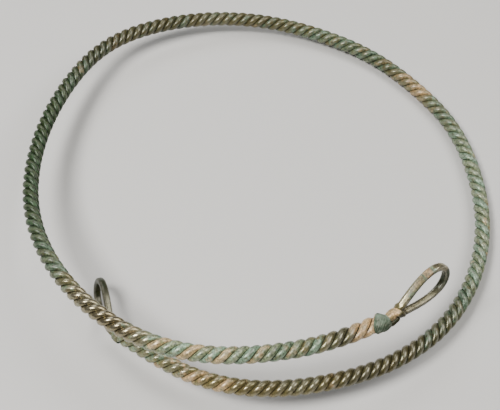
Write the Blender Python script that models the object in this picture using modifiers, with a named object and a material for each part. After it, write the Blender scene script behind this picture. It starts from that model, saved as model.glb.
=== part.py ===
# Bronze neck ring: three wires twisted into one rope that goes a little more than once round,
# with a hammered wire loop bound to each end. It lies like a slack spring: the far side rests
# on the ground, the raised end stands clear above the low end, and the low loop touches down.

import math
from collections import namedtuple

import bmesh
import bpy
import numpy as np
from mathutils import Matrix, Vector

# Driving dimensions, in metres
ring_radius = 0.0878           # middle of the ring to the middle of the rope
rope_diameter = 0.0061         # over the crests of the three wires
twist_pitch = 0.0114           # along the rope, for one full turn of the wires
slack_length = 0.0140          # how far the slacker twist at the raised end reaches
neighbour_gap = 0.0003         # clear space between one piece and the next
binding_diameter = 0.0063      # over the wire wound round the foot of a loop, at the rope
binding_end_diameter = 0.0052  # the same at the loop, where it is drawn in
leg_thickness = 0.0021         # a loop's wire, in the plane of the loop
leg_width = 0.0024             # the same wire, square to that plane
neck_bend_radius = 0.0045      # where a loop's two legs bend together, beyond the binding

# A loop has a binding of its own length, a neck of legs lying side by side, and an eye that is
# long from the neck to its tip and wide between the middles of its legs, all in metres. Its
# angles are in degrees: the neck bends it in towards the middle of the ring, it leans inwards
# at its top, and it droops towards its tip.
Loop = namedtuple("Loop", "binding neck length width bend lean droop")
raised_loop = Loop(binding=0.0061, neck=0.0067, length=0.0204, width=0.0107,
                   bend=4.2, lean=18.5, droop=-16.5)
low_loop = Loop(binding=0.0034, neck=0.0018, length=0.0204, width=0.0112,
                bend=37.5, lean=21.5, droop=3.7)

wires_in_rope = 3
stations_per_turn = 6.1        # sections along the rope in each full turn of the wires
route_samples = 4000           # places at which the rope's twist is added up
slack_share = 0.35             # how much longer the twist's pitch is at the raised end
crest_share = 0.42             # how much of its third of the rope a wire's crest takes up
groove_share = 0.64            # how far out the groove's floor lies, as a share of rope_radius
held_share = 0.72              # the legs' size inside the binding, as a share
neck_share = 0.95              # the legs' size in the neck, as a share
step_out = 0.0009              # how far beyond the binding the legs reach their size in the neck
neck_steps = 3                 # sections along each leg of a neck
chamfer_share = 0.3            # the corners taken off a leg's section, as a share of its half
binding_sides = 16
eye_steps = 12                 # sections along each leg of a loop's eye
full_size_step = 3             # the one at which a leg comes to its full size
eye_samples = 100              # places at which an eye's widest is looked for
eye_shape = 1.3                # how far towards the tip an eye is widest: 0 is half way

# The pose of the sprung ring. Turns are degrees clockwise round the ring, seen from above,
# with zero at the front. Radii and lifts are shares of ring_radius, one at every turn_step.
first_turn = -40.0
turn_step = 16.0
radius_shares = (0.938, 0.957, 0.969, 1.002, 1.020, 1.015, 1.005, 0.995, 0.986, 0.990,
                 1.015, 1.048, 1.034, 1.007, 0.981, 0.963, 0.963, 0.965, 0.985, 0.997,
                 1.017, 1.037, 1.049, 1.041, 1.024, 1.016, 0.991, 0.956, 0.970)
lift_shares = (0.260, 0.302, 0.345, 0.365, 0.354, 0.334, 0.306, 0.263, 0.218, 0.183,
               0.153, 0.122, 0.091, 0.063, 0.040, 0.022, 0.009, 0.002, 0.000, 0.001,
               0.008, 0.026, 0.049, 0.074, 0.093, 0.101, 0.091, 0.073, 0.052)
raised_end_turn = -28.0
low_end_turn = 396.0

rope_radius = rope_diameter / 2
turn_nudge = 0.1               # either side of an end, in degrees, to find its direction
merge_distance = 0.00001

# The looks of the pieces, each with its colour, its roughness and how metallic it is
Look = namedtuple("Look", "colour roughness metallic")
patinated = Look(colour=(0.20, 0.19, 0.12), roughness=0.45, metallic=0.8)
rubbed = Look(colour=(0.33, 0.30, 0.20), roughness=0.40, metallic=0.8)
verdigris = Look(colour=(0.20, 0.31, 0.25), roughness=0.75, metallic=0.2)


def clear_scene():
    for thing in list(bpy.data.objects):
        bpy.data.objects.remove(thing, do_unlink=True)


def make_collection(name):
    collection = bpy.data.collections.new(name)
    bpy.context.scene.collection.children.link(collection)
    return collection


def bronze(piece_name, look):
    material = bpy.data.materials.new(piece_name + "_bronze")
    material.use_nodes = True
    shader = material.node_tree.nodes["Principled BSDF"]
    shader.inputs["Base Color"].default_value = (*look.colour, 1.0)
    shader.inputs["Roughness"].default_value = look.roughness
    shader.inputs["Metallic"].default_value = look.metallic
    return material


# The rope's route

def smooth_through(shares):
    # A natural cubic spline through evenly spaced shares, read at fractional indices
    heights = np.array(shares)
    count = len(heights)
    system = np.eye(count)
    target = np.zeros(count)
    for index in range(1, count - 1):
        system[index, index - 1:index + 2] = 1.0, 4.0, 1.0
        target[index] = 6 * (heights[index - 1] - 2 * heights[index] + heights[index + 1])
    bend = np.linalg.solve(system, target)

    def height_at(position):
        index = np.clip(np.floor(position).astype(int), 0, count - 2)
        after = position - index
        before = 1 - after
        straight = before * heights[index] + after * heights[index + 1]
        curved = (before ** 3 - before) * bend[index] + (after ** 3 - after) * bend[index + 1]
        return straight + curved / 6
    return height_at


def rope_middle(turns):
    # The middle of the rope at an array of turns
    position = (np.asarray(turns, float) - first_turn) / turn_step
    radius = ring_radius * smooth_through(radius_shares)(position)
    height = rope_radius + ring_radius * smooth_through(lift_shares)(position)
    angle = np.radians(-90.0 - np.asarray(turns, float))
    return np.stack([radius * np.cos(angle), radius * np.sin(angle), height], axis=1)


def twisted_route():
    # Points along the rope at equal steps of twist, and the twist at each of them. The pitch
    # grows towards the raised end, where the wires have slackened.
    middle = rope_middle(np.linspace(raised_end_turn, low_end_turn, route_samples))
    strides = np.linalg.norm(np.diff(middle, axis=0), axis=1)
    length = np.concatenate([[0.0], np.cumsum(strides)])
    pitch = twist_pitch * (1 + slack_share * np.exp(-(length / slack_length) ** 2))
    turning = 2 * math.pi * strides * 2 / (pitch[1:] + pitch[:-1])
    twist = np.concatenate([[0.0], np.cumsum(turning)])
    stations = round(twist[-1] / (2 * math.pi) * stations_per_turn) + 1
    station_twist = np.linspace(0.0, twist[-1], stations)
    points = [np.interp(station_twist, twist, middle[:, axis]) for axis in range(3)]
    return np.stack(points, axis=1), station_twist


def end_frame(turn, outward_sign, lean):
    # Where the rope ends: its middle, the way out of it, and the plane of its loop. The columns
    # are the way out, the way across the loop's legs and the way square to the loop, inwards.
    # The way across points up at the low end and down at the raised end.
    near_end = rope_middle([turn - turn_nudge, turn, turn + turn_nudge])
    before, middle, after = (Vector(point) for point in near_end)
    outward = ((after - before) * outward_sign).normalized()
    inward = Vector((-middle.x, -middle.y, 0.0))
    inward = (inward - outward * inward.dot(outward)).normalized()
    side = inward.cross(outward)
    lean_angle = math.radians(lean) * outward_sign
    across = side * math.cos(lean_angle) + inward * math.sin(lean_angle)
    square = inward * math.cos(lean_angle) - side * math.sin(lean_angle)
    frame = Matrix((outward, across, square)).transposed().to_4x4()
    frame.translation = middle + outward * neighbour_gap
    return frame


# Bars swept along a line

def flat_guide(name, outline, collection):
    curve = bpy.data.curves.new(name, "CURVE")
    curve.dimensions = "2D"
    spline = curve.splines.new("POLY")
    spline.points.add(len(outline) - 1)
    for point, (x, y) in zip(spline.points, outline):
        point.co = (x, y, 0.0, 1.0)
    spline.use_cyclic_u = True
    guide = bpy.data.objects.new(name, curve)
    guide.hide_render = True
    guide.display_type = "WIRE"
    collection.objects.link(guide)
    return guide


def swept_bar(name, points, tilts, sizes, section, collection):
    # A closed bar of one section along a line, turned and sized at each point. The section's
    # own upward side keeps to the z axis before it is tilted.
    curve = bpy.data.curves.new(name, "CURVE")
    curve.dimensions = "3D"
    curve.twist_mode = "Z_UP"
    curve.bevel_mode = "OBJECT"
    curve.bevel_object = section
    curve.use_fill_caps = True
    spline = curve.splines.new("POLY")
    spline.points.add(len(points) - 1)
    for point, place, tilt, size in zip(spline.points, points, tilts, sizes):
        point.co = (*place, 1.0)
        point.tilt = tilt
        point.radius = size
    bar = bpy.data.objects.new(name, curve)
    collection.objects.link(bar)
    weld = bar.modifiers.new("weld the caps", "WELD")
    weld.merge_threshold = merge_distance
    split = bar.modifiers.new("split faces the short way", "TRIANGULATE")
    split.quad_method = "SHORTEST_DIAGONAL"
    return bar


# The twisted wires

def wire_section(collection):
    # One wire's third of the rope's round section: a broad crest, and flanks that stay half a
    # gap inside the third
    third = math.pi / wires_in_rope
    crest_angle = crest_share * third
    groove_radius = groove_share * rope_radius
    flank_angle = third - math.asin(neighbour_gap / 2 / groove_radius)
    corners = [(rope_radius, -crest_angle), (rope_radius, crest_angle),
               (groove_radius, flank_angle), (groove_radius, -flank_angle)]
    outline = [(radius * math.sin(angle), radius * math.cos(angle)) for radius, angle in corners]
    return flat_guide("wire_section", outline, collection)


def twist_wires(collection, guides):
    section = wire_section(guides)
    points, twist = twisted_route()
    for number in range(wires_in_rope):
        # Kept within one turn, because a curve point's tilt is limited to 60 turns
        tilts = np.remainder(2 * math.pi * number / wires_in_rope - twist, 2 * math.pi)
        name = f"twisted_wire_{number + 1}"
        wire = swept_bar(name, points, tilts, np.ones(len(points)), section, collection)
        wire.data.materials.append(bronze(name, patinated))


# The end loops

def leg_section(collection):
    # A hammered wire: a rectangle with its corners taken off
    x, y = leg_thickness / 2, leg_width / 2
    cut_x, cut_y = x * (1 - chamfer_share), y * (1 - chamfer_share)
    outline = [(x, cut_y), (x, -cut_y), (cut_x, -y), (-cut_x, -y),
               (-x, -cut_y), (-x, cut_y), (-cut_x, y), (cut_x, y)]
    return flat_guide("leg_section", outline, collection)


def eye_fullness(angle):
    # A teardrop's half width round its eye, from the neck at 0 to the tip at pi
    return math.sin(angle) * math.sin(angle / 2) ** eye_shape


def half_apart(share):
    # From the middle of the neck to the middle of a leg, where the legs lie side by side
    return (leg_thickness * share + neighbour_gap) / 2


def flat_leg(loop):
    # One leg drawn flat, as places and sizes: x runs out from the rope, y across it
    widest = max(eye_fullness(math.pi * sample / eye_samples) for sample in range(eye_samples))
    neck_end = loop.binding + loop.neck
    places = [(0.0, half_apart(held_share)), (loop.binding, half_apart(held_share))]
    sizes = [held_share, held_share]
    for step in range(neck_steps):
        along = loop.binding + step_out + (loop.neck - step_out) * step / neck_steps
        places.append((along, half_apart(neck_share)))
        sizes.append(neck_share)
    for step in range(eye_steps + 1):
        angle = math.pi * step / eye_steps
        along = neck_end + loop.length * (1 - math.cos(angle)) / 2
        apart = half_apart(neck_share) * (1 + math.cos(angle)) / 2
        places.append((along, apart + loop.width / 2 * eye_fullness(angle) / widest))
        sizes.append(min(1.0, neck_share + (1 - neck_share) * step / full_size_step))
    return places, sizes


def bend_neck(mesh, loop, outward_sign):
    # Bends the flat loop inwards beyond its binding, and lets it droop towards its tip
    bend = math.radians(loop.bend)
    droop = math.radians(loop.droop) * outward_sign
    lean = math.radians(loop.lean) * outward_sign
    outward = Vector((1.0, 0.0, 0.0))
    inward = Vector((0.0, math.sin(lean), math.cos(lean)))
    arc = neck_bend_radius * math.hypot(bend, droop)
    radius = arc / bend
    for vertex in mesh.vertices:
        reach = vertex.co.x - loop.binding
        if reach <= 0:
            continue
        share = min(reach / arc, 1.0)
        turned = bend * share
        beyond = max(reach - arc, 0.0)
        ahead = radius * math.sin(turned) + beyond * math.cos(turned)
        aside = radius * (1 - math.cos(turned)) + beyond * math.sin(turned)
        offset = Vector((0.0, vertex.co.y, vertex.co.z))
        offset.rotate(Matrix.Rotation(turned, 3, outward.cross(inward)))
        place = outward * ahead + inward * aside + offset
        place.rotate(Matrix.Rotation(-droop * share, 3, "Z"))
        vertex.co = place + outward * loop.binding


def as_mesh(bar):
    # Turns a swept bar into a plain mesh object in the same place
    mesh = bpy.data.meshes.new_from_object(bar.evaluated_get(bpy.context.evaluated_depsgraph_get()))
    piece = bpy.data.objects.new(bar.name, mesh)
    piece.matrix_world = bar.matrix_world
    for collection in bar.users_collection:
        collection.objects.link(piece)
    name = bar.name
    bpy.data.objects.remove(bar)
    piece.name = name
    mesh.materials.clear()
    return piece


def end_loop(name, loop, outward_sign, frame, section, collection):
    places, sizes = flat_leg(loop)
    places += [(x, -y) for x, y in places[-2::-1]]
    sizes += sizes[-2::-1]
    points = [(x, y, 0.0) for x, y in places]
    piece = as_mesh(swept_bar(name, points, [0.0] * len(points), sizes, section, collection))
    bend_neck(piece.data, loop, outward_sign)
    piece.data.materials.append(bronze(name, rubbed))
    piece.matrix_world = frame


def binding_slot(name, loop, collection):
    # The cutter for the hole that the two legs pass through
    bpy.ops.mesh.primitive_cube_add(size=1)
    slot = bpy.context.object
    slot.name = name
    height = 2 * leg_thickness * held_share + 3 * neighbour_gap
    width = leg_width * held_share + 2 * neighbour_gap
    slot.data.transform(Matrix.Diagonal((2 * loop.binding, height, width, 1.0)))
    slot.data.transform(Matrix.Translation((loop.binding / 2, 0.0, 0.0)))
    for holder in list(slot.users_collection):
        holder.objects.unlink(slot)
    collection.objects.link(slot)
    slot.hide_render = True
    slot.display_type = "WIRE"
    return slot


def binding(name, loop, frame, collection, guides):
    # A tapered sleeve turned round the way out of the rope, with a slot for the two legs
    radius, end_radius = binding_diameter / 2, binding_end_diameter / 2
    rounding = (radius - end_radius) / 2
    profile = [(0.0, 0.0), (0.0, radius - rounding), (rounding, radius),
               (loop.binding / 2, (radius + end_radius) / 2),
               (loop.binding, end_radius), (loop.binding, 0.0)]
    mesh = bpy.data.meshes.new(name)
    outline = bmesh.new()
    corners = [outline.verts.new((x, y, 0.0)) for x, y in profile]
    for corner, following in zip(corners, corners[1:]):
        outline.edges.new((corner, following))
    outline.to_mesh(mesh)
    outline.free()
    mesh.materials.append(bronze(name, verdigris))
    sleeve = bpy.data.objects.new(name, mesh)
    collection.objects.link(sleeve)
    turn = sleeve.modifiers.new("turn the barrel", "SCREW")
    turn.axis = "X"
    turn.steps = turn.render_steps = binding_sides
    turn.use_merge_vertices = True
    turn.merge_threshold = merge_distance
    cut = sleeve.modifiers.new("slot for the legs", "BOOLEAN")
    cut.operation = "DIFFERENCE"
    cut.object = binding_slot(name + "_slot", loop, guides)
    sleeve.matrix_world = frame
    cut.object.matrix_world = frame


def stand_on_ground(collection, guides):
    # Puts the origin under the middle of the ring's box, at the height of its lowest point
    depsgraph = bpy.context.evaluated_depsgraph_get()
    corners = []
    for piece in collection.objects:
        mesh = piece.evaluated_get(depsgraph).to_mesh()
        corners += [piece.matrix_world @ vertex.co for vertex in mesh.vertices]
    lowest = [min(corner[axis] for corner in corners) for axis in range(3)]
    highest = [max(corner[axis] for corner in corners) for axis in range(3)]
    ring = bpy.data.objects.new("neck_ring", None)
    guides.objects.link(ring)
    for piece in list(collection.objects) + list(guides.objects):
        if piece is not ring:
            piece.parent = ring
    ring.location = (-(lowest[0] + highest[0]) / 2, -(lowest[1] + highest[1]) / 2, -lowest[2])


def build_neck_ring():
    clear_scene()
    collection = make_collection("bronze_neck_ring")
    guides = make_collection("guides")
    twist_wires(collection, guides)
    section = leg_section(guides)
    ends = (("raised", raised_loop, raised_end_turn, -1), ("low", low_loop, low_end_turn, 1))
    for end, loop, turn, outward_sign in ends:
        frame = end_frame(turn, outward_sign, loop.lean)
        end_loop(f"{end}_end_loop", loop, outward_sign, frame, section, collection)
        binding(f"{end}_end_binding", loop, frame, collection, guides)
    stand_on_ground(collection, guides)


build_neck_ring()
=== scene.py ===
import math

import bmesh
import bpy
import numpy as np
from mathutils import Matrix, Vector


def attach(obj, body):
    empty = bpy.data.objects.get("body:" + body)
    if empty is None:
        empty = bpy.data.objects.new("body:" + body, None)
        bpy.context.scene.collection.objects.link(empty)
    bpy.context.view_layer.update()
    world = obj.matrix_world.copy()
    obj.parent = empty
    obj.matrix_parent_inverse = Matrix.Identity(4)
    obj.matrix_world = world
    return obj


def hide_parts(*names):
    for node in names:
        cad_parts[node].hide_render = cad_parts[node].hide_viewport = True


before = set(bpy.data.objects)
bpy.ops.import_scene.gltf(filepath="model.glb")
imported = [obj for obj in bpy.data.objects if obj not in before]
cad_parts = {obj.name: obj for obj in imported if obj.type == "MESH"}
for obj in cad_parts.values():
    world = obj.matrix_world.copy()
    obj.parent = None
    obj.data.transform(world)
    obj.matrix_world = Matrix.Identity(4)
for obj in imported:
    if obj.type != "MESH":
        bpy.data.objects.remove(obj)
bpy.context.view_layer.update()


# node trees: plain arithmetic on a node's output adds the nodes that reckon the result

class Signal:
    def __init__(self, socket):
        self.socket = socket
        self.tree = socket.id_data

    def __add__(self, other):
        return reckon("ADD", self, other)

    def __sub__(self, other):
        return reckon("SUBTRACT", self, other)

    def __rsub__(self, other):
        return reckon("SUBTRACT", other, self)

    def __mul__(self, other):
        return reckon("MULTIPLY", self, other)

    def __truediv__(self, other):
        return reckon("DIVIDE", self, other)

    def __rtruediv__(self, other):
        return reckon("DIVIDE", other, self)

    def clamped(self):
        self.socket.node.use_clamp = True
        return self


class Outputs:
    # a node's outputs by name, such as start.place
    def __init__(self, node):
        self.node = node

    def __getattr__(self, name):
        return Signal(self.node.outputs[name])


def plug(socket, value):
    # a socket takes another node's output, or a plain value
    if isinstance(value, Signal):
        value.tree.links.new(value.socket, socket)
    else:
        socket.default_value = value


def newNode(tree, kind, inputs=None, **settings):
    node = tree.nodes.new(kind)
    for key, value in settings.items():
        setattr(node, key, value)
    for key, value in (inputs or {}).items():
        plug(node.inputs[key], value)
    return node


def outOf(node, key=0):
    return Signal(node.outputs[key])


def treeOf(*values):
    return next(value.tree for value in values if isinstance(value, Signal))


def isVector(value):
    return isinstance(value, tuple) or isinstance(value, Signal) and value.socket.type == "VECTOR"


def maths(operation, *values):
    return outOf(newNode(treeOf(*values), "ShaderNodeMath", dict(enumerate(values)), operation=operation))


def vectors(operation, first, second, output="Vector"):
    place = "Scale" if operation == "SCALE" else 1
    return outOf(newNode(first.tree, "ShaderNodeVectorMath", {0: first, place: second}, operation=operation), output)


def reckon(operation, first, second):
    if not isVector(first):
        return maths(operation, first, second)
    # a vector times a plain value is scaled by it
    scaled = operation == "MULTIPLY" and not isVector(second)
    return vectors("SCALE" if scaled else operation, first, second)


def cross(first, second):
    return vectors("CROSS_PRODUCT", first, second)


def dot(first, second):
    return vectors("DOT_PRODUCT", first, second, "Value")


def combine(x, y, z):
    return outOf(newNode(treeOf(x, y, z), "ShaderNodeCombineXYZ", {0: x, 1: y, 2: z}))


def split(vector):
    return [Signal(socket) for socket in newNode(vector.tree, "ShaderNodeSeparateXYZ", {0: vector}).outputs]


def noise(place, scale, detail=2.0, roughness=0.5, seed=0.0):
    return outOf(newNode(place.tree, "ShaderNodeTexNoise", {
        "Vector": place, "W": seed, "Scale": scale, "Detail": detail, "Roughness": roughness},
        noise_dimensions="4D"), "Fac")


def ramped(value, low, high, toLow=0.0, toHigh=1.0):
    return outOf(newNode(value.tree, "ShaderNodeMapRange", {
        "From Min": low, "From Max": high, "To Min": toLow, "To Max": toHigh, "Value": value},
        interpolation_type="SMOOTHSTEP"))


def blendColours(share, first, second, blend="MIX"):
    return outOf(newNode(treeOf(share, first, second), "ShaderNodeMix", {0: share, 6: first, 7: second},
                         data_type="RGBA", blend_type=blend), 2)


def newTree(name, kind, inputs, outputs):
    # a node group; an input is given by its starting value, or like an output by its kind of socket
    tree = bpy.data.node_groups.new(name, kind)
    kinds = {int: "Int", float: "Float", tuple: "Color"}
    for label, start in inputs.items():
        socketKind = kinds.get(type(start), start)
        socket = tree.interface.new_socket(label, in_out="INPUT", socket_type="NodeSocket" + socketKind)
        if type(start) in kinds:
            socket.default_value = start
    for label, socketKind in outputs.items():
        tree.interface.new_socket(label, in_out="OUTPUT", socket_type="NodeSocket" + socketKind)
    return tree, Outputs(tree.nodes.new("NodeGroupInput")), tree.nodes.new("NodeGroupOutput").inputs


def give(end, **values):
    for name, value in values.items():
        plug(end[name], value)


def given(tree, what):
    # a geometry's own Position, Normal, Tangent or Radius
    return outOf(newNode(tree, "GeometryNodeInput" + what))


def through(geometry, kind, inputs=None, **settings):
    # passes a geometry through one more node
    return outOf(newNode(geometry.tree, "GeometryNode" + kind, {0: geometry, **(inputs or {})}, **settings))


def storeValue(geometry, name, value):
    return through(geometry, "StoreNamedAttribute", {"Name": name, "Value": value}, domain="POINT",
                   data_type="FLOAT_VECTOR" if isVector(value) else "FLOAT")


def readValue(tree, name, kind="FLOAT"):
    return outOf(newNode(tree, "GeometryNodeInputNamedAttribute", {"Name": name}, data_type=kind), "Attribute")


def readVector(tree, name):
    return readValue(tree, name, "FLOAT_VECTOR")


def moveBy(geometry, offset):
    return through(geometry, "SetPosition", {"Offset": offset})


def roughen(geometry, bumps, size):
    # moves a surface in and out along its normals
    return moveBy(geometry, given(geometry.tree, "Normal") * (bumps * (size * 2.0)))


def circle(tree, sides):
    return outOf(newNode(tree, "GeometryNodeCurvePrimitiveCircle", {"Resolution": sides, "Radius": 1.0}))


def sweep(curve, section):
    node = newNode(curve.tree, "GeometryNodeCurveToMesh", {
        "Curve": curve, "Profile Curve": section, "Fill Caps": True})
    if "Scale" in node.inputs:
        plug(node.inputs["Scale"], given(curve.tree, "Radius"))
    return outOf(node)


def finishTree(geometry, material, end):
    geometry = through(through(geometry, "SetShadeSmooth"), "RealizeInstances")
    give(end, geometry=through(geometry, "SetMaterial", {"Material": material}))


# objects and meshes

def addObject(name, data):
    added = bpy.data.objects.new(name, data)
    bpy.context.scene.collection.objects.link(added)
    return added


def setValues(mesh, values):
    for name, numbers in values.items():
        mesh.attributes.new(name, "FLOAT", "POINT").data.foreach_set("value", np.array(numbers, np.float32))


def lineObject(name, points, values):
    # a run of points joined by edges, with a named value at each point
    mesh = bpy.data.meshes.new(name)
    mesh.from_pydata([tuple(point) for point in points], [(i, i + 1) for i in range(len(points) - 1)], [])
    setValues(mesh, values)
    return addObject(name, mesh)


def growMesh(name, line, tree, settings):
    # runs a Geometry Nodes tree on a line and keeps the result as a plain mesh object
    modifier = line.modifiers.new("grow", "NODES")
    modifier.node_group = tree
    for item in tree.interface.items_tree:
        if item.in_out == "INPUT" and item.name in settings:
            modifier[item.identifier] = settings[item.name]
    shaped = line.evaluated_get(bpy.context.evaluated_depsgraph_get())
    piece = addObject(name, bpy.data.meshes.new_from_object(shaped))
    bpy.data.objects.remove(line)
    return piece


def readPoints(mesh):
    flat = np.empty(len(mesh.vertices) * 3, np.float32)
    mesh.vertices.foreach_get("co", flat)
    return flat.reshape(-1, 3).astype(float)


def writePoints(mesh, points):
    mesh.vertices.foreach_set("co", points.astype(np.float32).ravel())
    mesh.update()


def handOver(piece, node):
    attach(piece, "root")
    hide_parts(node)
    print(f"{piece.name}: {len(piece.data.polygons)} faces, stands for {node}")


# the rope's route, as the sprung ring lies

ropeRoute = {
    "ringRadius": 0.0878,
    "ropeDiameter": 0.0061,
    "twistPitch": 0.0114,
    "slackLength": 0.0140,
    "slackShare": 0.35,
    "samples": 4000,
    "cadStationsPerTurn": 6.1,
    "firstTurn": -40.0,       # turns are degrees clockwise from the front, seen from above
    "turnStep": 16.0,
    "turnNudge": 0.1,         # either side of an end, to find its direction
    "raisedEndTurn": -28.0,
    "lowEndTurn": 396.0,
    "endRise": (0.0, 0.00092, 0.00060),   # the raised end stands a little higher than the solids' route
    "riseTurns": (6.0, 25.0),             # and comes up between these turns before the front
    "radiusShares": (0.938, 0.957, 0.969, 1.002, 1.020, 1.015, 1.005, 0.995, 0.986, 0.990,
                     1.015, 1.048, 1.034, 1.007, 0.981, 0.963, 0.963, 0.965, 0.985, 0.997,
                     1.017, 1.037, 1.049, 1.041, 1.024, 1.016, 0.991, 0.956, 0.970),
    "liftShares": (0.260, 0.302, 0.345, 0.365, 0.354, 0.334, 0.306, 0.263, 0.218, 0.183,
                   0.153, 0.122, 0.091, 0.063, 0.040, 0.022, 0.009, 0.002, 0.000, 0.001,
                   0.008, 0.026, 0.049, 0.074, 0.093, 0.101, 0.091, 0.073, 0.052),
}


def smoothThrough(shares):
    heights = np.array(shares)
    count = len(heights)
    system = np.eye(count)
    target = np.zeros(count)
    for i in range(1, count - 1):
        system[i, i - 1:i + 2] = 1.0, 4.0, 1.0
        target[i] = 6 * (heights[i - 1] - 2 * heights[i] + heights[i + 1])
    bend = np.linalg.solve(system, target)

    def heightAt(position):
        i = np.clip(np.floor(position).astype(int), 0, count - 2)
        after = position - i
        before = 1 - after
        straight = before * heights[i] + after * heights[i + 1]
        return straight + ((before ** 3 - before) * bend[i] + (after ** 3 - after) * bend[i + 1]) / 6
    return heightAt


def ropeMiddle(turns):
    r = ropeRoute
    position = (np.asarray(turns, float) - r["firstTurn"]) / r["turnStep"]
    radius = r["ringRadius"] * smoothThrough(r["radiusShares"])(position)
    height = r["ropeDiameter"] / 2 + r["ringRadius"] * smoothThrough(r["liftShares"])(position)
    angle = np.radians(-90.0 - np.asarray(turns, float))
    return np.stack([radius * np.cos(angle), radius * np.sin(angle), height], axis=1)


def eased(value, low, high):
    share = np.clip((value - low) / (high - low), 0.0, 1.0)
    return share * share * (3 - 2 * share)


def ropeStations(perTurn, before=0.0, after=0.0, rise=0.0):
    # points at equal steps of twist, with the twist, the turn, the length run and the pitch at each;
    # the rope may run on straight before and after its ends, and rise at its raised end
    r = ropeRoute
    turns = np.linspace(r["raisedEndTurn"], r["lowEndTurn"], r["samples"])
    middle = ropeMiddle(turns) + rise * np.outer(eased(-turns, *r["riseTurns"]), r["endRise"])
    strides = np.linalg.norm(np.diff(middle, axis=0), axis=1)
    length = np.concatenate([[0.0], np.cumsum(strides)])
    pitch = r["twistPitch"] * (1 + r["slackShare"] * np.exp(-(length / r["slackLength"]) ** 2))
    twist = np.concatenate([[0.0], np.cumsum(2 * math.pi * strides * 2 / (pitch[1:] + pitch[:-1]))])
    if before and after:
        ends = [middle[0] + (middle[0] - middle[1]) * before / strides[0],
                middle[-1] + (middle[-1] - middle[-2]) * after / strides[-1]]
        middle = np.vstack([ends[0], middle, ends[1]])
        twist = np.concatenate([[-2 * math.pi * before / pitch[0]], twist,
                                [twist[-1] + 2 * math.pi * after / pitch[-1]]])
        turns, pitch = np.pad(turns, 1, "edge"), np.pad(pitch, 1, "edge")
        length = np.concatenate([[-before], length, [length[-1] + after]])
    count = round((twist[-1] - twist[0]) / (2 * math.pi) * perTurn) + 1
    stations = np.linspace(twist[0], twist[-1], count)
    points = np.stack([np.interp(stations, twist, middle[:, axis]) for axis in range(3)], axis=1)
    values = {"twist": stations, "turn": np.interp(stations, twist, turns),
              "run": np.interp(stations, twist, length), "pitch": np.interp(stations, twist, pitch)}
    return points, values


def ringShift():
    # the CAD wires' corners stand evenly round the rope's middle, so their mean shows where it lies
    corners = np.concatenate([[tuple(v.co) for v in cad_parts[f"twisted_wire_{n}"].data.vertices]
                              for n in (1, 2, 3)])
    cadStations = ropeStations(ropeRoute["cadStationsPerTurn"])[0]
    return Vector(np.unique(corners, axis=0).mean(0) - cadStations.mean(0))


shift = ringShift()
print("ring shift in mm:", [round(1000 * value, 3) for value in shift])


# patina: shader groups that more than one material uses

# along the rope, from its raised end to its low end: its turn, and how orange, green, rubbed and dark it is; the dark
# share is partly the patina's own darkness and partly painted shade and painted light
ropeZones = (
    (-28, 0.95, 0.05, 0.25, 0.06), (-23, 0.92, 0.05, 0.30, 0.20), (-19, 0.20, 0.25, 0.80, 0.78),
    (-14, 0.20, 0.60, 0.65, 0.30), (-6, 0.30, 0.80, 0.55, 0.38), (4, 0.35, 0.80, 0.55, 0.10),
    (16, 0.65, 0.70, 0.50, 0.00), (24, 0.40, 0.60, 0.80, 0.05), (30, 0.20, 0.35, 1.00, 0.28),
    (44, 0.25, 0.40, 1.00, 0.26), (52, 0.25, 0.65, 0.60, 0.66), (62, 0.15, 0.90, 0.40, 0.88),
    (76, 0.05, 1.00, 0.35, 1.00), (108, 0.10, 0.95, 0.35, 1.00), (118, 0.20, 0.75, 0.35, 0.90),
    (132, 0.35, 0.45, 0.35, 0.90), (144, 0.30, 0.40, 0.35, 0.78), (156, 0.20, 0.50, 0.20, 0.82),
    (168, 0.25, 0.35, 0.25, 0.62), (182, 0.20, 0.45, 0.20, 0.72), (202, 0.20, 0.65, 0.35, 0.50),
    (220, 0.25, 0.70, 0.25, 0.72), (235, 0.85, 0.30, 0.25, 0.33), (244, 0.25, 0.70, 0.40, 0.60),
    (260, 0.20, 0.80, 0.60, 0.22), (298, 0.20, 0.72, 0.65, 0.36), (314, 0.20, 0.50, 0.65, 0.78),
    (338, 0.30, 0.15, 0.70, 0.74), (350, 0.40, 0.15, 0.80, 0.38), (361, 0.35, 0.25, 0.80, 0.36),
    (370, 0.65, 0.30, 0.80, 0.00), (396, 0.35, 0.60, 0.55, 0.10),
)

palette = {
    "sage": (0.150, 0.185, 0.110, 1.0),
    "turquoise": (0.135, 0.215, 0.155, 1.0),
    "deepGreen": (0.030, 0.055, 0.030, 1.0),
    "tan": (0.260, 0.190, 0.095, 1.0),
    "salmon": (0.430, 0.280, 0.140, 1.0),
    "bronze": (0.150, 0.122, 0.050, 1.0),
    "gold": (0.190, 0.165, 0.055, 1.0),
    "groove": (0.012, 0.013, 0.008, 1.0),
    "rubbed": (0.480, 0.455, 0.370, 1.0),
    "polish": (0.260, 0.220, 0.160, 1.0),
    "greySkin": (0.158, 0.148, 0.086, 1.0),
    "verdigris": (0.165, 0.220, 0.160, 1.0),
    # these multiply a colour
    "fleckDark": (0.50, 0.50, 0.50, 1.0),
    "fleckLight": (1.25, 1.25, 1.25, 1.0),
    "gritDark": (0.55, 0.55, 0.52, 1.0),
    "gritLight": (1.35, 1.35, 1.35, 1.0),
    # painted shade and light: the dark share blends these and multiplies the skin by the result, partly the patina's
    # own darkness
    "deepBrownShade": (0.16, 0.15, 0.10, 1.0),
    "deepGreenShade": (0.16, 0.24, 0.12, 1.0),
    "noShade": (1.60, 1.60, 1.54, 1.0),
}

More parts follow.
